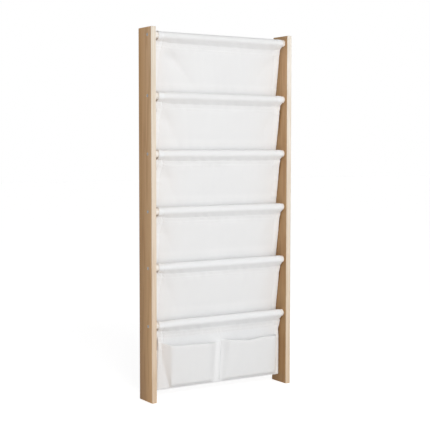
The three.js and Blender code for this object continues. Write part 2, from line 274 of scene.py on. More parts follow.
# How far the sleeve's right edge twists in over the top, how far its left end reaches out on the rod, how
# far and over what length it gapes at the left and, by a share, at the right, and where its edges go over
# into those of the hanging cloth
RIGHT_TWIST = 7 * MM
TWIST_END = (-60 * MM, -30 * MM)
SLEEVE_REACHES = (2 * MM, 2 * MM, 2 * MM, 2.5 * MM, 3 * MM, 3.4 * MM)
SLEEVE_FLARE = 2.2 * MM
LEFT_FLARE_LENGTH = 12 * MM
RIGHT_FLARE_LENGTH = 8 * MM
RIGHT_FLARE_SHARE = 0.3
INSET_CHANGE = (0, 12 * MM)

# How far a sling's edges are drawn in just below its seam, at the left and right, and over what length
LEFT_NECK = 6 * MM
RIGHT_NECK = 2 * MM
NECK_PLACE = 14 * MM
NECK_LENGTH = 30 * MM

# The crease pulled from each upper left corner: where it starts, its slope, its depth and its reach
CREASES = (
    (40 * MM, 47.0, 16 * MM, 150 * MM),
    (17 * MM, 57.0, 11 * MM, 150 * MM),
    (24 * MM, 63.0, 11 * MM, 120 * MM),
    (14 * MM, 60.0, 10 * MM, 110 * MM),
    (30 * MM, 62.6, 7 * MM, 150 * MM),
)

# The section of a crease: its flank and how that widens, its rounded bottom, its shares above and below
CREASE_FLANK = 10 * MM
CREASE_WIDENING = 0.05
CREASE_SHIFT = 0.2
CREASE_BOTTOM = 4 * MM
CREASE_ABOVE = 1.6
CREASE_BELOW = 2.6
CREASE_ONSET = (6 * MM, 62 * MM)
CREASE_END = (0.6, 0.9)

# The fainter crease from each upper right corner: its start, and its slope and depth against the left one's
RIGHT_CREASE = (20 * MM, 8, 0.4)

# Left edge of the lower panel: heights and how far it is drawn in there, in millimetres
PANEL_EDGE = ((33, 1.0), (102, 2.0), (123, 3.2), (143, 5.0), (163, 5.4), (184, 6.8), (194, 7.6),
              (204, 6.8), (215, 5.0), (225, 3.5), (236, -1.0), (250, -4.5))

# Right edge of the lower panel: drawn in at the mouth, and wider from there down
PANEL_RIGHT_NECK = (1.5 * MM, 12 * MM)
PANEL_RIGHT_NECK_HEIGHT = 192 * MM
PANEL_RIGHT_WIDENING = 2.6 * MM
PANEL_WIDENING_HEIGHTS = (232 * MM, 175 * MM)

# Random forms in the cloth: seed, height, and the shortest and the longest lengths, each across and down
SEED = 20
WAVE_COUNT = 10
SLOW_WAVES = (SEED, 1.1 * MM, (0.09, 0.25), (0.3, 0.8))
QUICK_WAVES = (SEED + 40, 0.22 * MM, (0.03, 0.1), (0.06, 0.4))
SEAM_RIPPLES = (SEED + 80, 0.14 * MM, (0.02, 0.08), (0.06, 0.3))
HEM_PUCKERS = (SEED + 120, 0.28 * MM, (0.5, 0.012), (0.9, 0.03))
SLEEVE_DENTS = (SEED + 160, 0.4 * MM, (0.03, 0.1), (0.05, 0.3))
POCKET_WAVES = (SEED + 200, 0.8 * MM, (0.05, 0.14), (0.1, 0.5))
MOUTH_RIPPLES = (SEED + 203, 0.25 * MM, (0.012, 0.05), (0.02, 0.1))

# Where the waves come up below the seam, and over what share of the hanging cloth they go again
WAVE_ONSET = (0, 30 * MM)
WAVE_END = (0.8, 1.0)

# The count of layers that stands for painted light, the whitest cloth, where shade falls; and how much of
# it shows on each rod's sleeve, most on the lower sleeves, whose undersides lie in shade
PAINTED_LIGHT_LAYERS = 5.0
SLEEVE_PAINTED_LIGHT = (0, 0.1, 0.35, 0.7, 0.9, 1.0)
SLEEVE_PAINTED_LIGHT_END = (0, 4 * MM)

# Ranges over which the materials change: of noise, layers and painted light, weave, and the turn to a
# board's paler edge with its painted light
CLOUD_RANGE = (0.35, 0.65)
SEWN_RANGE = (1.1, 2.2)
PAINTED_LIGHT_RANGE = (3.0, PAINTED_LIGHT_LAYERS)
WEAVE_RANGE = (-1.0, 0.2)
LATE_RANGE = (0.1, 0.95)
PORE_RANGE = (0.52, 0.72)
EDGE_RANGE = (0.05, 0.3)
CLOUD_DEPTH = 0.2
FINE_RELIEF = 0.5

# Sewn layers, and where they lie below the seam
SEWN_LAYERS = 0.6
SEWN_ONSET = (0, 3 * MM)
SEWN_END = (ALLOWANCE - 3 * MM, ALLOWANCE)

# Where painted light stands in for light in the shade: on hems folded this many times, which are also
# whiter for their layers, behind the next rod, in the pockets down from a height, and on a pocket's flat
# ends as shares of its width and of its depth
HEM_PAINTED_LIGHT_FOLDS = (1.4, 2.4)
THROAT_PAINTED_LIGHT = 26 * MM
THROAT_ONSET = (60 * MM, 90 * MM)
THROAT_END = (215 * MM, 225 * MM)
PANEL_PAINTED_LIGHT_ONSET = (0, 10 * MM)
PANEL_PAINTED_LIGHT_HEIGHTS = (195 * MM, 225 * MM)
FLAT_PAINTED_LIGHT = 0.75
INNER_END = (0.75, 0.85)
OUTER_END = (0, 0.16)
FLAT_END = (0, 0.5)

# Stitches
STITCH_LENGTH = 2.4 * MM
STITCH_PITCH = 3.1 * MM
THREAD_RADIUS = 0.28 * MM
STITCH_SIDES = 6
STITCH_PROFILE = ((0.0, 0.35), (0.15, 0.9), (0.5, 1.0), (0.85, 0.9), (1.0, 0.35))
STITCH_ARCH = 0.75
STITCH_SINK = 0.1

# Mesh steps: columns of the canvas, then rows of a sleeve, of a sling and of the lower panel
HEM_COLUMNS = 16
FIELD_COLUMNS = 124
HEM_SPARE = 5 * MM
TAIL_STEPS = 5
APEX_STEPS = 7
ROUND_POINTS = 30
FRONT_STEPS = 9
FALL_STEPS = 56
THROAT_STEPS = 20
FOLD_STEPS = 14
RISE_STEPS = 14
LAP_STEPS = 5
BEND_STEPS = 22
PANEL_STEPS = 50

# Mesh steps: levels of a pocket down its front and round its foot, its stretches, and the turned pieces
FRONT_LEVELS = 34
FOOT_LEVELS = 11
POCKET_STEPS = (9, 18, 44, 18, 4)
ROD_SIDES = 64
SCREW_SIDES = 48
CHAMFER_STEPS = 4

ROD_COUNT = 6

board_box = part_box("upright_left")
board_height = cad_box[1][2]
board_depth = cad_box[1][1] - cad_box[0][1]
board_thickness = board_box[1].x - board_box[0].x
rod_boxes = [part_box(f"rod_{k}") for k in range(1, ROD_COUNT + 1)]
rod_centres = [np.array([(lo.y + hi.y) / 2, (lo.z + hi.z) / 2]) for lo, hi in rod_boxes]
rod_radius = (rod_boxes[0][1].z - rod_boxes[0][0].z) / 2
canvas_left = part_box("sleeve_1")[0].x
canvas_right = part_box("sleeve_1")[1].x
canvas_width = canvas_right - canvas_left
sleeve_radius = rod_radius + EASE + CANVAS / 2

seam_down = np.array([SEAM_SETBACK, -SEAM_DROP])
seam_down = seam_down / np.linalg.norm(seam_down)
seam_back = np.array([-seam_down[1], seam_down[0]])
apex_reach = math.hypot(SEAM_SETBACK, SEAM_DROP) - SEAM_TAIL - SEAM_LIFT
seam_row = TAIL_STEPS + APEX_STEPS + ROUND_POINTS - 1 + FRONT_STEPS


def lerp(a, b, share):
    return a + (b - a) * share


def smooth(low, high, value):
    share = np.clip((value - low) / (high - low), 0, 1)
    return share * share * (3 - 2 * share)


def bump(value, width):
    return np.exp(-((value / width) ** 2))


def ridge(shape, value):
    """A rounded ridge of some height and width where the value is 0."""
    height, width = shape
    return height * bump(value, width)


def between(onset, end, value):
    """1 past the onset and before the end, which are both softened ranges of the value."""
    return smooth(*onset, value) * (1 - smooth(*end, value))


def undulation(shape, step, x, s):
    """A soft random height over places x across and s down a cloth; the step is added to the seed."""
    seed, height, shortest, longest = shape
    random = np.random.default_rng(seed + step)
    total = np.zeros(np.broadcast(x, s).shape)
    for _ in range(WAVE_COUNT):
        across = 2 * math.pi / random.uniform(shortest[0], longest[0])
        down = 2 * math.pi / random.uniform(shortest[1], longest[1])
        lean = random.choice([-1, 1])
        total = total + np.cos(across * x + lean * down * s + random.uniform(0, 2 * math.pi))
    return height * total / math.sqrt(WAVE_COUNT)


# Meshes


def make_object(name, vertices, faces, material, uvs=None, layers=None):
    mesh = bpy.data.meshes.new(name)
    mesh.from_pydata([tuple(v) for v in vertices], [], faces)
    if uvs is not None:
        layer = mesh.uv_layers.new(name="UVMap")
        corners = np.zeros(len(mesh.loops), dtype=np.int32)
        mesh.loops.foreach_get("vertex_index", corners)
        layer.data.foreach_set("uv", np.asarray(uvs, dtype=np.float32)[corners].ravel())
    if layers is not None:
        attribute = mesh.attributes.new("layers", "FLOAT", "POINT")
        attribute.data.foreach_set("value", np.asarray(layers, dtype=np.float32))
    mesh.polygons.foreach_set("use_smooth", [True] * len(mesh.polygons))
    mesh.materials.append(material)
    mesh.update()
    thing = bpy.data.objects.new(name, mesh)
    bpy.context.scene.collection.objects.link(thing)
    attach(thing, "root")
    return thing


def grid_normals(grid):
    across = np.gradient(grid, axis=1)
    down = np.gradient(grid, axis=0)
    normal = np.cross(down, across)
    return normal / np.linalg.norm(normal, axis=2, keepdims=True)


def path_lengths(grid):
    steps = np.linalg.norm(np.diff(grid, axis=0), axis=2)
    return np.vstack([np.zeros(grid.shape[1]), np.cumsum(steps, axis=0)])


def rim_points(outer, inner, normals, thickness, ring):
    """Points a little outside the edge of a cloth, half-way between its faces, which round its rim."""
    rows, columns = thickness.shape
    middle = (outer + inner) / 2
    rim = []
    for r, c in ring:
        inside = middle[min(max(r, 1), rows - 2), min(max(c, 1), columns - 2)]
        outward = middle[r, c] - inside
        outward = outward - normals[r, c] * np.dot(outward, normals[r, c])
        outward = outward / max(np.linalg.norm(outward), 1e-9)
        rim.append(middle[r, c] + outward * thickness[r, c] * RIM_SHARE)
    return np.array(rim)


def cloth_faces(index, ring):
    """Faces of a cloth's outer side, its inner side and its rim."""
    a, b = index[:-1, :-1].ravel(), index[:-1, 1:].ravel()
    c, d = index[1:, 1:].ravel(), index[1:, :-1].ravel()
    shift = index.size
    faces = np.stack([a, d, c, b], axis=1).tolist()
    faces += (np.stack([a, b, c, d], axis=1) + shift).tolist()
    count = len(ring)
    for k in range(count):
        here, after = ring[k], ring[(k + 1) % count]
        low, high = 2 * shift + k, 2 * shift + (k + 1) % count
        faces.append([here, after, high, low])
        faces.append([low, high, after + shift, here + shift])
    return faces


def cloth_object(name, outer, thickness, layers, material):
    """A closed cloth from its outer face's grid, and at each point its thickness and count of layers.

    The layers, painted light included, are those of the outer face and the rim. The inner face is all
    PAINTED_LIGHT_LAYERS, painted light where shade falls inside folds and pockets.
    """
    rows, columns = thickness.shape
    normals = grid_normals(outer)
    inner = outer - normals * thickness[:, :, None]
    ring = [(0, c) for c in range(columns - 1)]
    ring += [(r, columns - 1) for r in range(rows - 1)]
    ring += [(rows - 1, c) for c in range(columns - 1, 0, -1)]
    ring += [(r, 0) for r in range(rows - 1, 0, -1)]
    index = np.arange(rows * columns).reshape(rows, columns)
    edge = [int(index[r, c]) for r, c in ring]
    rim = rim_points(outer, inner, normals, thickness, ring)
    vertices = np.vstack([outer.reshape(-1, 3), inner.reshape(-1, 3), rim])
    flat = np.stack([outer[:, :, 0], path_lengths(outer)], axis=2).reshape(-1, 2)
    uvs = np.vstack([flat, flat, flat[edge]])
    counts = layers.ravel()
    counts = np.concatenate([counts, np.full(counts.size, PAINTED_LIGHT_LAYERS), counts[edge]])
    return make_object(name, vertices, cloth_faces(index, edge), material, uvs, counts)


def value_along(place, lengths, values):
    """The point or normal at a place along a line, from those at its lengths."""
    return np.array([np.interp(place, lengths, values[:, i]) for i in range(3)])


def cut_along(outer, normals, q, offset):
    """Points and normals along the line of the grid where q has the value of the offset."""
    offset = np.broadcast_to(offset, q.shape[1])
    points, ups = [], []
    for c in range(q.shape[1]):
        points.append(value_along(offset[c], q[:, c], outer[:, c]))
        ups.append(value_along(offset[c], q[:, c], normals[:, c]))
    return np.array(points), np.array(ups)


def add_stitch(vertices, faces, start, end, normal):
    """Adds one stitch, a tube that arches out of the cloth and is drawn in at both ends."""
    along = (end - start) / np.linalg.norm(end - start)
    side = np.cross(normal, along)
    base = len(vertices)
    for share, width in STITCH_PROFILE:
        lift = THREAD_RADIUS * (STITCH_ARCH * math.sin(math.pi * share) - STITCH_SINK)
        centre = lerp(start, end, share) + normal * lift
        for angle in np.arange(STITCH_SIDES) * 2 * math.pi / STITCH_SIDES:
            reach = THREAD_RADIUS * width
            vertices.append(centre + reach * (math.cos(angle) * side + math.sin(angle) * normal))
    last = base + (len(STITCH_PROFILE) - 1) * STITCH_SIDES
    for ring in range(base, last, STITCH_SIDES):
        for k in range(STITCH_SIDES):
            p, q = ring + k, ring + (k + 1) % STITCH_SIDES
            faces.append([p, q, q + STITCH_SIDES, p + STITCH_SIDES])
    faces.append([base + k for k in reversed(range(STITCH_SIDES))])
    faces.append([last + k for k in range(STITCH_SIDES)])


def make_stitches(name, rows):
    """Short thread stitches end to end along each row, which is a list of points with their normals."""
    vertices, faces = [], []
    for points, normals in rows:
        lengths = path_lengths(points[:, None])[:, 0]
        for place in np.arange(STITCH_PITCH / 2, lengths[-1] - STITCH_LENGTH, STITCH_PITCH):
            start, end = (value_along(e, lengths, points) for e in (place, place + STITCH_LENGTH))
            normal = value_along(place, lengths, normals)
            add_stitch(vertices, faces, start, end, normal / np.linalg.norm(normal))
    stitches = make_object(name, vertices, faces, thread)


# Materials


class Nodes:
    """The node tree of a material or a world, with short calls to add and join nodes."""

    def __init__(self, owner):
        owner.use_nodes = True
        self.owner = owner
        self.tree = owner.node_tree

    def add(self, kind, inputs=None, **settings):
        node = self.tree.nodes.new(kind)
        for key, value in settings.items():
            setattr(node, key, value)
        for key, value in (inputs or {}).items():
            self.put(value, node.inputs[key])
        return node

    def put(self, value, socket):
        """Joins a socket to another node's output, or sets it to a constant."""
        if isinstance(value, bpy.types.NodeSocket):
            self.tree.links.new(value, socket)
        else:
            socket.default_value = value

    def math(self, operation, a, b=0.0):
        return self.add("ShaderNodeMath", {0: a, 1: b}, operation=operation).outputs[0]

    def line(self, value, start, slope):
        """The value times the slope, added to the start."""
        return self.math("ADD", start, self.math("MULTIPLY", value, slope))

    def mix(self, share, a, b, blend="MIX"):
        inputs = {0: share, 6: a, 7: b}
        return self.add("ShaderNodeMix", inputs, data_type="RGBA", blend_type=blend).outputs[2]

    def tint(self, share, a, b):
        return self.mix(share, a, b, "MULTIPLY")

    def place(self, scale):
        where = self.add("ShaderNodeTexCoord").outputs["Object"]
        return self.add("ShaderNodeMapping", {0: where, 3: scale}).outputs[0]

    def noise(self, scales, detail, roughness):
        """Noise over the object's own coordinates times the scales."""
        inputs = {"Vector": self.place(scales), "Scale": 1.0, "Detail": detail, "Roughness": roughness}
        return self.add("ShaderNodeTexNoise", inputs).outputs["Fac"]

    def step(self, value, low, high):
        inputs = {"Value": value, "From Min": low, "From Max": high}
        return self.add("ShaderNodeMapRange", inputs, interpolation_type="SMOOTHSTEP").outputs[0]

    def bump(self, height, distance, strength=1.0):
        inputs = {"Height": height, "Distance": distance, "Strength": strength}
        return self.add("ShaderNodeBump", inputs).outputs[0]

    def seen(self):
        """1 where the camera sees it, also mirrored or through glass, and 0 where it only lights."""
        path = self.add("ShaderNodeLightPath").outputs
        seen = self.math("MAXIMUM", path["Is Camera Ray"], path["Is Glossy Ray"])
        return self.math("MAXIMUM", seen, path["Is Transmission Ray"])

    def finish(self, colour, roughness, normal=None, **others):
        """Joins or sets the shader's inputs, and gives back the material."""
        shader = self.tree.nodes["Principled BSDF"].inputs
        self.put(colour, shader["Base Color"])
        self.put(roughness, shader["Roughness"])
        if normal is not None:
            self.put(normal, shader["Normal"])
        for key, value in others.items():
            self.put(value, shader[key.replace("_", " ").title()])
        return self.owner


def canvas_material(name, tone):
    """White cotton canvas: plain weave with slubs and faint clouds.

    It is whiter where layers are sewn together. Where shade falls it is whitest, with painted light that
    stands in for light: on the hems, under the lower sleeves, behind the rods, in the pockets and on inner
    faces. A tone below 1 darkens all of it as painted shade.
    """
    n = Nodes(bpy.data.materials.new(name))
    dark, pale, white = ((shade * tone, shade * tone, shade * tone, 1) for shade in CANVAS_SHADES)
    uv = n.add("ShaderNodeUVMap", uv_map="UVMap").outputs[0]
    turns = 2 * math.pi / WEAVE_PITCH
    parts = n.add("ShaderNodeSeparateXYZ", {0: uv})
    warp = n.math("SINE", n.math("MULTIPLY", parts.outputs[0], turns))
    weft = n.math("SINE", n.math("MULTIPLY", parts.outputs[1], turns))
    weave = n.math("MULTIPLY", warp, weft)
    slub = n.noise(*SLUBS)
    cloud = n.step(n.noise(*CLOUDS), *CLOUD_RANGE)
    height = n.line(weave, slub, FINE_RELIEF)
    layers = n.add("ShaderNodeAttribute", attribute_name="layers").outputs["Fac"]
    single = n.mix(n.math("MULTIPLY", cloud, CLOUD_DEPTH), pale, white)
    double = n.mix(n.step(layers, *SEWN_RANGE), single, white)
    # Painted light: the whitest tone, where the layers attribute carries it
    field = n.mix(n.step(layers, *PAINTED_LIGHT_RANGE), double, PAINTED_LIGHT_TONE)
    colour = n.mix(n.step(weave, *WEAVE_RANGE), dark, field)
    return n.finish(colour, CANVAS_ROUGHNESS, n.bump(height, *CANVAS_BUMP), sheen_weight=CANVAS_SHEEN)


def thread_material():
    n = Nodes(bpy.data.materials.new("thread"))
    twist = n.noise(*TWISTS)
    colour = n.mix(twist, *THREAD_TONES)
    return n.finish(colour, THREAD_ROUGHNESS, n.bump(twist, *THREAD_BUMP))


def grain_noise(n, shape, grain_axis):
    """Noise that is drawn out along the grain."""
    (across, along), detail, roughness = shape
    scales = tuple(along if axis == grain_axis else across for axis in range(3))
    return n.noise(scales, detail, roughness)


def pine_material(name, grain_axis, sides, edges):
    """Clear-lacquered pine: long grain, growth rings and pores. Its colours darken from top to foot and
    from front to back, and turn paler on faces towards the front or back: on the boards that is painted
    shade and painted light; the rod's colours are all one.
    """
    n = Nodes(bpy.data.materials.new(name))
    rings = grain_noise(n, RINGS, grain_axis)
    warped = n.line(n.noise(*WARPS), rings, WARP_SHARE)
    late = n.step(n.math("SINE", n.math("MULTIPLY", warped, RING_COUNT)), *LATE_RANGE)
    pores = n.step(grain_noise(n, PORES, grain_axis), *PORE_RANGE)
    place = n.add("ShaderNodeSeparateXYZ", {0: n.place((1, 1, 1))}).outputs
    # Shares down the board and towards its back, over which the colours darken as painted shade
    down = n.math("DIVIDE", n.math("SUBTRACT", board_height, place[2]), board_height)
    back = n.math("ADD", n.math("DIVIDE", place[1], board_depth), 0.5)
    side = n.mix(down, n.mix(back, sides[0], sides[1]), n.mix(back, sides[2], sides[3]))
    edge = n.mix(down, edges[0], edges[1])
    # Faces turned to the front or back take the edge colours: edge grain and painted light
    normal = n.add("ShaderNodeNewGeometry").outputs["Normal"]
    facing = n.math("ABSOLUTE", n.add("ShaderNodeSeparateXYZ", {0: normal}).outputs[1])
    edge_grain_and_painted_light = n.step(facing, *EDGE_RANGE)
    base = n.mix(edge_grain_and_painted_light, side, edge)
    edge_loss = n.math("MULTIPLY", edge_grain_and_painted_light, RING_DEPTH - EDGE_RING_DEPTH)
    ring_depth = n.math("SUBTRACT", RING_DEPTH, edge_loss)
    ringed = n.tint(n.math("MULTIPLY", late, ring_depth), base, LATE_WOOD)
    colour = n.tint(n.math("MULTIPLY", pores, PORE_DEPTH), ringed, LATE_WOOD)
    height = n.line(late, pores, FINE_RELIEF)
    roughness = n.line(rings, *PINE_ROUGHNESS)
    return n.finish(colour, roughness, n.bump(height, *PINE_BUMP))


def steel_material():
    n = Nodes(bpy.data.materials.new("screw_steel"))
    scratch = n.noise(*SCRATCHES)
    colour = n.mix(scratch, *STEEL_TONES)
    roughness = n.line(scratch, *STEEL_ROUGHNESS)
    return n.finish(colour, roughness, n.bump(scratch, *STEEL_BUMP), metallic=1.0)


canvas = canvas_material("canvas", 1.0)
# The pockets' canvas, darkened all over as painted shade
pocket_canvas_with_painted_shade = canvas_material("canvas_with_painted_shade", POCKET_PAINTED_SHADE)
thread = thread_material()
# Left and right boards get copies of one pine whose colours differ by painted shade and painted light
pine_left_with_painted_shade = pine_material("pine_board_left_with_painted_shade", Z_AXIS, LEFT_SIDES_WITH_PAINTED_SHADE, LEFT_EDGES_WITH_PAINTED_LIGHT_AND_SHADE)
pine_right_with_painted_shade = pine_material("pine_board_right_with_painted_shade", Z_AXIS, RIGHT_SIDES_WITH_PAINTED_SHADE, RIGHT_EDGES_WITH_PAINTED_LIGHT_AND_SHADE)
rod_pine = pine_material("pine_rod", X_AXIS, ROD_TONES, ROD_TONES)
steel = steel_material()


# Wood and screws


def lathe_x(name, rings, sides, material):
    """A solid about X from rings of (radius, place along X); a radius may be a function of the angle."""
    angles = np.arange(sides) * 2 * math.pi / sides
    vertices, faces = [], []
    previous = None
    for radius, along in rings:
        start = len(vertices)
        if radius == 0:
            vertices.append((along, 0.0, 0.0))
            current = [start] * sides
        else:
            reach = radius(angles) if callable(radius) else np.full(sides, radius)
            vertices.extend(zip(np.full(sides, along), reach * np.cos(angles), reach * np.sin(angles)))
            current = list(range(start, start + sides))
        if previous is not None:
            for k in range(sides):
                quad = [previous[k], current[k], current[(k + 1) % sides], previous[(k + 1) % sides]]
                faces.append(list(dict.fromkeys(quad)))
        previous = current
    return make_object(name, vertices, faces, material)


def move_mesh(thing, place, turn=0.0):
    mesh = thing.data
    mesh.transform(Euler((0, 0, turn)).to_matrix().to_4x4())
    mesh.transform(Matrix.Translation(place))
    mesh.update()


def make_rod(k):
    lo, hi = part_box(f"rod_{k}")
    half = (hi.x - lo.x) / 2
    profile = [(0, -half), (rod_radius - ROD_CHAMFER, -half)]
    for angle in np.linspace(0, math.pi / 2, CHAMFER_STEPS + 1):
        radius = rod_radius - ROD_CHAMFER * (1 - math.sin(angle))
        profile.append((radius, -half + ROD_CHAMFER * (1 - math.cos(angle))))
    profile += [(radius, -along) for radius, along in reversed(profile)]
    rod = lathe_x(f"wood_rod_{k}", profile, ROD_SIDES, rod_pine)
    move_mesh(rod, (lo + hi) / 2)
    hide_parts(f"rod_{k}")


def hexagon(across_flats):
    """The radius of a hexagon as a function of the angle, for a ring of the lathe."""
    def radius(angles):
        turned = np.mod(angles, math.pi / 3) - math.pi / 6
        return across_flats / 2 / np.cos(turned)

    return radius


def make_screw(side, k):
    """A screw with its head's face at the start of its profile, turned round on the right board."""
    node = f"screw_{side}_{k}"
    lo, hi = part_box(node)
    head = (hi.z - lo.z) / 2
    length = hi.x - lo.x
    socket = hexagon(SOCKET_FLATS)
    profile = [
        (0, SOCKET_POINT),
        (socket, SOCKET_DEPTH),
        (socket, HEAD_EASE),
        (hexagon(SOCKET_MOUTH_FLATS), SOCKET_LIP),
        (head - 2 * HEAD_EASE, 0),
        (head - 0.7 * HEAD_EASE, HEAD_CROWN),
        (head, HEAD_EASE),
        (head, HEAD_RIM),
        (SCREW_COLLAR, HEAD_RIM + head - SCREW_COLLAR),
        (SCREW_COLLAR, board_thickness),
        (SCREW_CORE, board_thickness + SCREW_COLLAR_STEP),
        (SCREW_CORE, length - SCREW_TIP),
        (0, length),
    ]
    rings = [(radius, along - length / 2) for radius, along in profile]
    screw = lathe_x(f"steel_{node}", rings, SCREW_SIDES, steel)
    move_mesh(screw, (lo + hi) / 2, 0.0 if side == "left" else math.pi)
    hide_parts(node)


for side, pine in (("left", pine_left_with_painted_shade), ("right", pine_right_with_painted_shade)):
    board_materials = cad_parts[f"upright_{side}"].data.materials
    board_materials.clear()
    board_materials.append(pine)
for k in range(1, ROD_COUNT + 1):
    make_rod(k)
    make_screw("left", k)
    make_screw("right", k)


# Canvas


def column_places():
    """Places across the canvas from its left edge: close together at the hems, where the cloth puckers."""
    hem = np.linspace(0, HEM_WIDTH + HEM_SPARE, HEM_COLUMNS, endpoint=False)
    field = np.linspace(HEM_WIDTH + HEM_SPARE, canvas_width - HEM_WIDTH - HEM_SPARE, FIELD_COLUMNS)
    return np.concatenate([hem, field, canvas_width - hem[::-1]])


def apex_reaches(tier, x):
    """How far below its rod's axis a sleeve is sewn: closer at the ends, where the cloth is pulled."""
    left, right = REACH_SHIFTS[tier - 1]
    reach = apex_reach + lerp(left, right, x / canvas_width) * MM
    return reach * (1 - ridge(LEFT_PULL, x) - ridge(RIGHT_PULL, canvas_width - x))


def straight(a, b, count):
    shares = np.linspace(0, 1, count + 1)[1:, None]
    return lerp(a, b, shares)


def arc_points(centre, radius, start, end, count):
    angles = np.linspace(start, end, count + 1)[1:]
    return centre + radius * np.stack([np.cos(angles), np.sin(angles)], axis=1)


def quadratic(a, b, c, count):
    t = np.linspace(0, 1, count + 1)[1:, None]
    return (1 - t) ** 2 * a + 2 * t * (1 - t) * b + t * t * c


def sleeve_points(centre, reach, radius):
    """From the foot of the back tail, up behind the rod, over it and down to the seam in front."""
    tangent = math.atan2(SEAM_HALF, reach) + math.acos(radius / math.hypot(reach, SEAM_HALF))
    angles = np.linspace(tangent, 2 * math.pi - tangent, ROUND_POINTS)[:, None]
    round_rod = centre + radius * (np.cos(angles) * seam_down + np.sin(angles) * seam_back)
    tail_foot = centre + seam_down * (reach + ALLOWANCE) + seam_back * SEAM_HALF
    apex_back = centre + seam_down * reach + seam_back * SEAM_HALF
    return np.vstack([
        tail_foot[None],
        straight(tail_foot, apex_back, TAIL_STEPS),
        straight(apex_back, round_rod[0], APEX_STEPS),
        round_rod[1:],
        straight(round_rod[-1], seam_front(centre, reach), FRONT_STEPS),
    ])


def seam_front(centre, reach):
    """Where the front of a sleeve meets the seam below its rod, and the hanging cloth starts."""
    return centre + seam_down * reach - seam_back * SEAM_HALF


def fold_turn(centre, fold_start, lap_foot):
    """Round the fold, to where the cloth leaves it straight for the foot of the lap."""
    to_lap = lap_foot - centre
    lap_angle = math.atan2(to_lap[1], to_lap[0]) + math.acos(FOLD_RADIUS / np.linalg.norm(to_lap))
    start_angle = math.atan2(*(fold_start - centre)[::-1])
    end_angle = lap_angle - 2 * math.pi if lap_angle > start_angle else lap_angle
    return arc_points(centre, FOLD_RADIUS, start_angle, end_angle, FOLD_STEPS)


def sling_points(upper, lower, reach):
    """From the upper seam down past the lower rod, round the fold and up behind the lower seam."""
    start = seam_front(upper, reach)
    throat = np.array([lower[0] + sleeve_radius + THROAT_DEPTH, lower[1]])
    lead = start + seam_down * (SEAM_TAIL + SEAM_LEAD)
    slope = (throat - lead) / np.linalg.norm(throat - lead)
    forward = np.array([slope[1], -slope[0]])
    centre_height = lower[1] - FOLD_DROP + FOLD_RADIUS
    run = (centre_height - forward[1] * FOLD_RADIUS - throat[1]) / slope[1]
    fold_start = throat + slope * run
    behind = seam_back * LAP_OFFSET
    lap_top = lower + seam_down * (reach + LAP_START) + behind
    lap_foot = lower + seam_down * (reach + ALLOWANCE + LAP_END) + behind
    turn = fold_turn(fold_start + forward * FOLD_RADIUS, fold_start, lap_foot)
    return np.vstack([
        quadratic(start, lead, throat, FALL_STEPS),
        straight(throat, fold_start, THROAT_STEPS),
        turn,
        straight(turn[-1], lap_foot, RISE_STEPS),
        straight(lap_foot, lap_top, LAP_STEPS),
    ])


def divider_place(z):
    """Where the seam between the two pockets lies at height z: it leans both ways from the mouths."""
    return np.interp(z, DIVIDER_HEIGHTS, DIVIDER_PLACES)


def foot_rise(x):
    """How much higher than the middle the lower panel's foot hangs at x: the left end is the high one."""
    return FOOT_SLANT * (1 - 2 * x / canvas_width)


def panel_points(upper, reach, rise):
    """From the bottom rod's seam down the lower panel to its foot."""
    start = seam_front(upper, reach)
    lead = start + seam_down * (SEAM_TAIL + SEAM_LEAD)
    bend = np.array([lead[0], lead[1] - SEAM_LEAD])
    foot = np.array([lead[0], PANEL_FLOOR_GAP + rise])
    return np.vstack([quadratic(start, lead, bend, BEND_STEPS), straight(bend, foot, PANEL_STEPS)])


def averaged(grid):
    """All but the first and last entries of a line or grid, each averaged with its two neighbours."""
    return (grid[:-2] + 2 * grid[1:-1] + grid[2:]) / 4


def soften_seam(grid):
    """Rounds the bend at the seam."""
    for _ in range(SEAM_TURNS):
        middle = averaged(grid)
        for r in range(seam_row - 1, seam_row + 2):
            grid[r] = middle[r - 1]
    return grid


def crease(x, q, start, turn, depth, reach):
    """A valley that runs down and inwards from a corner: sharp and steep above, a long slope below."""
    turn = math.radians(turn)
    along = (x - start) * math.cos(turn) + q * math.sin(turn)
    across = q * math.cos(turn) - (x - start) * math.sin(turn)
    flank = CREASE_FLANK + CREASE_WIDENING * np.maximum(along, 0)
    across = across - CREASE_SHIFT * flank
    above = np.exp(-(np.hypot(across, CREASE_BOTTOM) - CREASE_BOTTOM) / (CREASE_ABOVE * flank))
    profile = np.where(across < 0, above, bump(across, CREASE_BELOW * flank))
    hold = smooth(*CREASE_ONSET, q) * bump(np.maximum(along, 0), reach)
    return depth * hold * profile


def corner_creases(tier, x, q):
    """A sling's deep crease from its upper left corner, and the fainter one from its upper right corner."""
    start, turn, depth, reach = CREASES[tier - 1]
    right_start, more_turn, share = RIGHT_CREASE
    left = crease(x, q, start, turn, depth, reach)
    return left + crease(canvas_width - x, q, right_start, turn + more_turn, share * depth, reach)


def drape(tier, x, q, length):
    """How far the hanging cloth stands back from its middle line at x across and q below the seam."""
    share = np.clip(q / length, 0, 1)
    sag = SAG_DEPTH * np.sin(math.pi * share) ** 2 * np.sin(math.pi * x / canvas_width)
    waves = undulation(SLOW_WAVES, tier, x, q) + undulation(QUICK_WAVES, tier, x, q)
    height = sag + smooth(*WAVE_ONSET, q) * (1 - smooth(*WAVE_END, share)) * waves
    if tier < ROD_COUNT:
        height = height + (1 - smooth(*CREASE_END, share)) * corner_creases(tier, x, q)
    return height


def hem_field(from_edge, width):
    """0 on a hem of this width and 1 on the single cloth past it."""
    return smooth(width - HEM_STEP, width + HEM_STEP, from_edge)


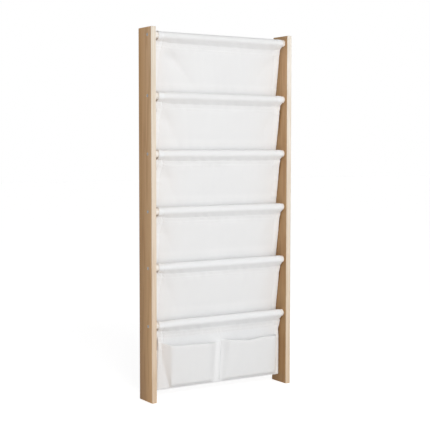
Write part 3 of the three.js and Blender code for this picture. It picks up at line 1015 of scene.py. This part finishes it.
def side_hems(tier, x, q):
    """Thickness and front relief of the two side hems, with the dip and puckers of their stitching."""
    from_edge = np.minimum(x, canvas_width - x)
    thickness = lerp(HEM_THICKNESS, CANVAS, hem_field(from_edge, HEM_WIDTH))
    dip = -ridge(HEM_DIP, from_edge - (HEM_WIDTH - HEM_STITCH))
    crown = ridge(HEM_CROWN, from_edge - HEM_WIDTH * HEM_CROWN_SHARE) - ridge(HEM_ROLL, from_edge)
    puckers = undulation(HEM_PUCKERS, tier, from_edge * PUCKER_STRETCH, q)
    puckers = puckers * (1 - smooth(HEM_WIDTH, HEM_WIDTH + PUCKER_REACH, from_edge))
    return thickness, dip + crown + puckers


def seam_relief(tier, x, q):
    """Relief along the sewn tail: its lip, and the two stitch rows that press the layers together."""
    ripple = between(SEAM_ONSET, SEAM_END, q) * undulation(SEAM_RIPPLES, tier, x, q)
    lip = ridge(SEAM_LIP, q - SEAM_LIP_PLACE)
    return ripple + lip - sum(ridge(SEAM_ROW_DIP, q - row) for row in SEAM_ROWS)


def sleeve_dents(tier, x, q):
    """Soft dents in the flat of the cloth between the rod and the seam."""
    return between(DENT_ONSET, DENT_END, q) * undulation(SLEEVE_DENTS, tier, x, q)


def foot_shape(q, from_divider):
    """Thickness and relief of the lower panel's foot hem, and relief of the seam between its pockets."""
    from_foot = q[-1] - q
    thickness = lerp(HEM_THICKNESS, CANVAS, hem_field(from_foot, FOOT_HEM))
    dip = -ridge(FOOT_HEM_DIP, from_foot - FOOT_HEM + HEM_STITCH)
    beside = abs(from_divider) - DIVIDER_RIDGE_PLACE
    divider = ridge(DIVIDER_RIDGE, beside) - ridge(DIVIDER_DIP, from_divider)
    return thickness, dip + between(DIVIDER_ONSET, DIVIDER_END, q) * divider


def sleeve_insets(tier, q):
    """How far the side edges are drawn in on the rod: the right end turns inwards over the top."""
    over = 1 - smooth(*TWIST_END, q)
    return -SLEEVE_REACHES[tier - 1], RIGHT_GAPS[tier - 1] + RIGHT_TWIST * over


def sling_insets(tier, q):
    """How far the side edges of a sling are drawn in below the seam."""
    neck = bump(q - NECK_PLACE, NECK_LENGTH)
    left = LEFT_NECK * neck - LEFT_REACHES[tier - 1]
    right = RIGHT_NECK * neck + RIGHT_GAPS[tier - 1] - RIGHT_FLARES[tier - 1]
    return left, right


def panel_insets(z):
    """How far the side edges of the lower panel are drawn in at height z: most at the pockets' mouths."""
    heights, amounts = zip(*PANEL_EDGE)
    left = np.interp(z / MM, heights, amounts) * MM
    widening = PANEL_RIGHT_WIDENING * smooth(*PANEL_WIDENING_HEIGHTS, z)
    return left, ridge(PANEL_RIGHT_NECK, z - PANEL_RIGHT_NECK_HEIGHT) - widening


def insets(tier, q, heights):
    """How far both side edges are drawn in at each point, from the sleeve's ends to the hanging cloth's."""
    on_rod = sleeve_insets(tier, np.minimum(q, 0))
    hanging = panel_insets(heights) if tier == ROD_COUNT else sling_insets(tier, np.maximum(q, 0))
    hold = smooth(*INSET_CHANGE, q)
    return [lerp(start, end, hold) for start, end in zip(on_rod, hanging)]


def tier_section(tier, places):
    """Depths and heights of the cloth's middle surface, and how far each point lies below the seam."""
    upper = rod_centres[tier - 1]
    left_gape = 1 - smooth(0, LEFT_FLARE_LENGTH, places)
    right_gape = RIGHT_FLARE_SHARE * (1 - smooth(0, RIGHT_FLARE_LENGTH, canvas_width - places))
    radii = sleeve_radius + SLEEVE_FLARE * (left_gape + right_gape)
    columns = []
    for reach, radius, rise in zip(apex_reaches(tier, places), radii, foot_rise(places)):
        if tier == ROD_COUNT:
            below = panel_points(upper, reach, rise)
        else:
            below = sling_points(upper, rod_centres[tier], reach)
        columns.append(np.vstack([sleeve_points(upper, reach, radius), below]))
    section = soften_seam(np.stack(columns, axis=1))
    lengths = path_lengths(section)
    return section[:, :, 0], section[:, :, 1], lengths - lengths[seam_row]


def layers_with_painted_light(tier, heights, q, thickness):
    """Layers of cloth at each point, and painted light up to PAINTED_LIGHT_LAYERS where shade falls: under
    the lower sleeves, on the hems, behind rods and in the pockets.
    """
    folds = thickness / CANVAS
    painted_light = SLEEVE_PAINTED_LIGHT[tier - 1] * (1 - smooth(*SLEEVE_PAINTED_LIGHT_END, q))
    if tier == ROD_COUNT:
        painted_light = painted_light + smooth(*PANEL_PAINTED_LIGHT_ONSET, q) * (1 - smooth(*PANEL_PAINTED_LIGHT_HEIGHTS, heights))
    else:
        from_throat = heights - (rod_centres[tier][1] + sleeve_radius)
        painted_light = painted_light + between(THROAT_ONSET, THROAT_END, q) * bump(from_throat, THROAT_PAINTED_LIGHT)
    painted_light = painted_light + smooth(*HEM_PAINTED_LIGHT_FOLDS, folds)
    return lerp(folds + SEWN_LAYERS * between(SEWN_ONSET, SEWN_END, q), PAINTED_LIGHT_LAYERS, np.clip(painted_light, 0, 1))


def tier_rows(outer, q, places, from_divider, last):
    """Where stitches run: both seam rows, both side hems, and on the lower panel its foot and divider."""
    normals = grid_normals(outer)
    rows = [cut_along(outer, normals, q, row) for row in SEAM_ROWS]
    for edge in (HEM_WIDTH - HEM_STITCH, canvas_width - HEM_WIDTH + HEM_STITCH):
        column = int(np.argmin(abs(places - edge)))
        rows.append((outer[seam_row:, column], normals[seam_row:, column]))
    if last:
        rows.append(cut_along(outer, normals, q, q[-1] - FOOT_HEM + HEM_STITCH))
        lines = np.arange(seam_row + DIVIDER_ROW, len(q))
        columns = np.argmin(abs(from_divider[lines]), axis=1)
        kept = q[lines, columns] < DIVIDER_LENGTH
        rows.append((outer[lines[kept], columns[kept]], normals[lines[kept], columns[kept]]))
    return rows


def make_tier(tier):
    """The sleeve on a rod and what hangs from it, a sling or the lower panel, as one cloth."""
    last = tier == ROD_COUNT
    places = column_places()
    depths, heights, q = tier_section(tier, places)
    x = np.broadcast_to(places, q.shape)
    hang, drape_share = (PANEL_HANG, PANEL_DRAPE_SHARE) if last else (SLING_HANG, 1)
    depths = depths + drape_share * drape(tier, x, np.maximum(q, 0), hang)
    left, right = insets(tier, q, heights)
    across = canvas_left + left + x * (1 - (left + right) / canvas_width)
    grid = np.stack([across, depths, heights], axis=2)
    thickness, relief = side_hems(tier, x, q)
    relief = relief + seam_relief(tier, x, q) + sleeve_dents(tier, x, q)
    from_divider = across - divider_place(heights)
    if last:
        foot_thickness, foot_relief = foot_shape(q, from_divider)
        thickness = np.maximum(thickness, foot_thickness)
        relief = relief + foot_relief
    outer = grid + grid_normals(grid) * (CANVAS / 2 + relief)[:, :, None]
    layers = layers_with_painted_light(tier, heights, q, thickness)
    cloth = cloth_object(f"canvas_tier_{tier}", outer, thickness, layers, canvas)
    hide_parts(f"sleeve_{tier}", "bottom_panel" if last else f"sling_{tier}")
    make_stitches(f"stitches_tier_{tier}", tier_rows(outer, q, places, from_divider, last))
    return outer


tiers = [make_tier(tier) for tier in range(1, ROD_COUNT + 1)]
panel = tiers[-1]


# Pockets


def panel_front(x, z):
    """The lower panel's front at place x and height z, looked up on its grid."""
    column = np.argmin(abs(panel[-1, :, 0] - x))
    hanging = panel[seam_row + 2:, column][::-1]
    return float(np.interp(z, hanging[:, 2], hanging[:, 1]))


def rounded(line, turns):
    line = line.copy()
    for _ in range(turns):
        line[1:-1] = averaged(line)
    return line


def round_corners(points, roundness):
    """Even steps along each stretch of a pocket's line, with its outer and its inner corners rounded."""
    line = [points[0]]
    for a, b, count in zip(points[:-1], points[1:], POCKET_STEPS):
        line.extend(straight(np.array(a), np.array(b), count))
    line = np.array(line, dtype=float)
    outer, inner = (rounded(line, turns) for turns in roundness)
    share = smooth(*INNER_CORNERS, np.linspace(0, 1, len(line)))[:, None]
    return lerp(outer, inner, share)


def pocket_line(side, level):
    """X, depth and Z along a pocket from its outer edge: level 0 is its mouth, 1 its belly, 2 its foot."""
    shape = POCKETS[side]
    outward = shape["outward"]
    down, under = min(level, 1), max(level - 1, 0)
    z = lerp(lerp(MOUTH_HEIGHT, BELLY_HEIGHT, down), PANEL_FLOOR_GAP + POCKET_FOOT_MARGIN, under)
    depth = lerp(lerp(MOUTH_DEPTH, BELLY_DEPTH, down), 0, under)
    left_inset, right_inset = panel_insets(z)
    edge = canvas_left + left_inset if side == "left" else canvas_right - right_inset
    places = [lerp(mouth, belly, down) for mouth, belly in shape["places"]]
    places[0] = lerp(*shape["places"][0], down ** OUTER_EDGE_POWER)
    line = round_corners([
        (edge - outward * POCKET_SIDE_MARGIN, 0),
        (places[0], 0),
        (places[1], depth * OUTER_DEPTH_SHARE),
        (places[2], depth),
        (places[3], 0),
        (divider_place(z) + outward * POCKET_SIDE_MARGIN, 0),
    ], shape["roundness"])
    return np.column_stack([line, np.full(len(line), z)])


def pocket_grid(side):
    """Points of a pocket's middle surface, how far across each lies and its share of its line's depth."""
    shape = POCKETS[side]
    levels = np.concatenate([np.linspace(0, 1, FRONT_LEVELS), 1 + np.linspace(0, 1, FOOT_LEVELS)[1:]])
    section = rounded(np.array([pocket_line(side, level) for level in levels]), POCKET_TURNS)
    x, depth, z = section[:, :, 0], section[:, :, 1], section[:, :, 2]
    down = np.linspace(0, 1, len(levels))[:, None]
    across = np.clip((x - x[:, :1]) / (x[:, -1:] - x[:, :1]), 0, 1)
    lift = np.clip(depth / np.maximum(depth.max(axis=1, keepdims=True), LEAST_DEPTH), 0, 1)
    bulge = FRONT_BULGE * np.sin(math.pi * across) * np.sin(math.pi * down) ** BULGE_POWER
    waves = undulation(POCKET_WAVES, shape["seed"], x, z)
    depth = depth + lift * smooth(*BULGE_END, 1 - down) * (bulge + waves)
    droop = np.interp(across, *zip(*shape["droop"])) * MM
    z = z - (1 - smooth(*DROOP_END, down)) * droop + smooth(*SLANT_ONSET, down) * foot_rise(x - canvas_left)
    y = np.vectorize(panel_front)(x, z) - POCKET_GAP - depth
    return np.stack([x, y, z], axis=2), across, lift


def pocket_layers_with_painted_light(side, thickness, across, lift):
    """Layers of cloth in a pocket, with painted light where shade falls: on its flat inner end and on the
    right one's outer end.
    """
    flat = smooth(*INNER_END, across) * (1 - smooth(*FLAT_END, lift))
    if side == "right":
        flat = np.maximum(flat, 1 - smooth(*OUTER_END, across))
    return lerp(thickness / CANVAS, PAINTED_LIGHT_LAYERS, FLAT_PAINTED_LIGHT * flat)


def make_pocket(side):
    """A patch pocket with folded flanks, a slanting front that bellies low and a hemmed, drooping mouth."""
    node = f"pocket_{side}"
    grid, across, lift = pocket_grid(side)
    ripples = undulation(MOUTH_RIPPLES, POCKETS[side]["seed"], grid[:, :, 0], grid[:, :, 2])
    if side == "right":
        grid, across, lift = grid[:, ::-1], across[:, ::-1], lift[:, ::-1]
    lengths = path_lengths(grid)
    past_hem = hem_field(lengths, MOUTH_HEM)
    thickness = lerp(HEM_THICKNESS, CANVAS, past_hem)
    relief = (1 - past_hem) * ripples - ridge(MOUTH_DIP, lengths - MOUTH_HEM + MOUTH_STITCH)
    outer = grid + grid_normals(grid) * (CANVAS / 2 + relief)[:, :, None]
    layers = pocket_layers_with_painted_light(side, thickness, across, lift)
    pocket = cloth_object(f"canvas_{node}", outer, thickness, layers, pocket_canvas_with_painted_shade)
    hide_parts(node)
    normals = grid_normals(outer)
    rows = [cut_along(outer, normals, lengths, MOUTH_HEM - MOUTH_STITCH)]
    rows += [(outer[:, column], normals[:, column]) for column in (1, -2)]
    rows.append((outer[-3], normals[-3]))
    make_stitches(f"stitches_{node}", rows)


make_pocket("left")
make_pocket("right")


# Floor, light and camera


def make_stage():
    bpy.ops.mesh.primitive_plane_add(size=FLOOR_SIZE)
    floor = bpy.context.object
    floor.name = "floor"
    n = Nodes(bpy.data.materials.new("floor"))
    glow = n.math("MULTIPLY", n.seen(), FLOOR_GLOW)
    n.finish(FLOOR_TONE, FLOOR_ROUGHNESS, emission_color=WHITE, emission_strength=glow)
    floor.data.materials.append(n.owner)


def make_light(name, place, target, size, power):
    data = bpy.data.lights.new(name, "AREA")
    data.shape = "SQUARE"
    data.size = size
    data.energy = power
    light = bpy.data.objects.new(name, data)
    bpy.context.scene.collection.objects.link(light)
    light.location = place
    light.rotation_euler = (Vector(target) - Vector(place)).to_track_quat("-Z", "Y").to_euler()


def make_world():
    """White where it is seen, and a dimmer even light on everything."""
    world = bpy.data.worlds.new("studio")
    bpy.context.scene.world = world
    n = Nodes(world)
    background = n.tree.nodes["Background"].inputs
    strength = n.add("ShaderNodeMapRange", {"Value": n.seen(), "To Min": WORLD_LIGHT, "To Max": 1.0})
    n.put(WHITE, background["Color"])
    n.put(strength.outputs[0], background["Strength"])


def make_camera():
    data = bpy.data.cameras.new("camera")
    data.lens = CAMERA_LENS
    data.sensor_width = CAMERA_SENSOR
    camera = bpy.data.objects.new("camera", data)
    bpy.context.scene.collection.objects.link(camera)
    camera.location = CAMERA_PLACE
    camera.rotation_euler = Euler((math.pi / 2 + CAMERA_PITCH, CAMERA_ROLL, -CAMERA_YAW), "XYZ")
    bpy.context.scene.camera = camera


make_stage()
make_world()
make_light("key", *KEY_LAMP)
make_light("fill", *FILL_LAMP)
make_camera()
bpy.context.scene.view_settings.view_transform = "Standard"
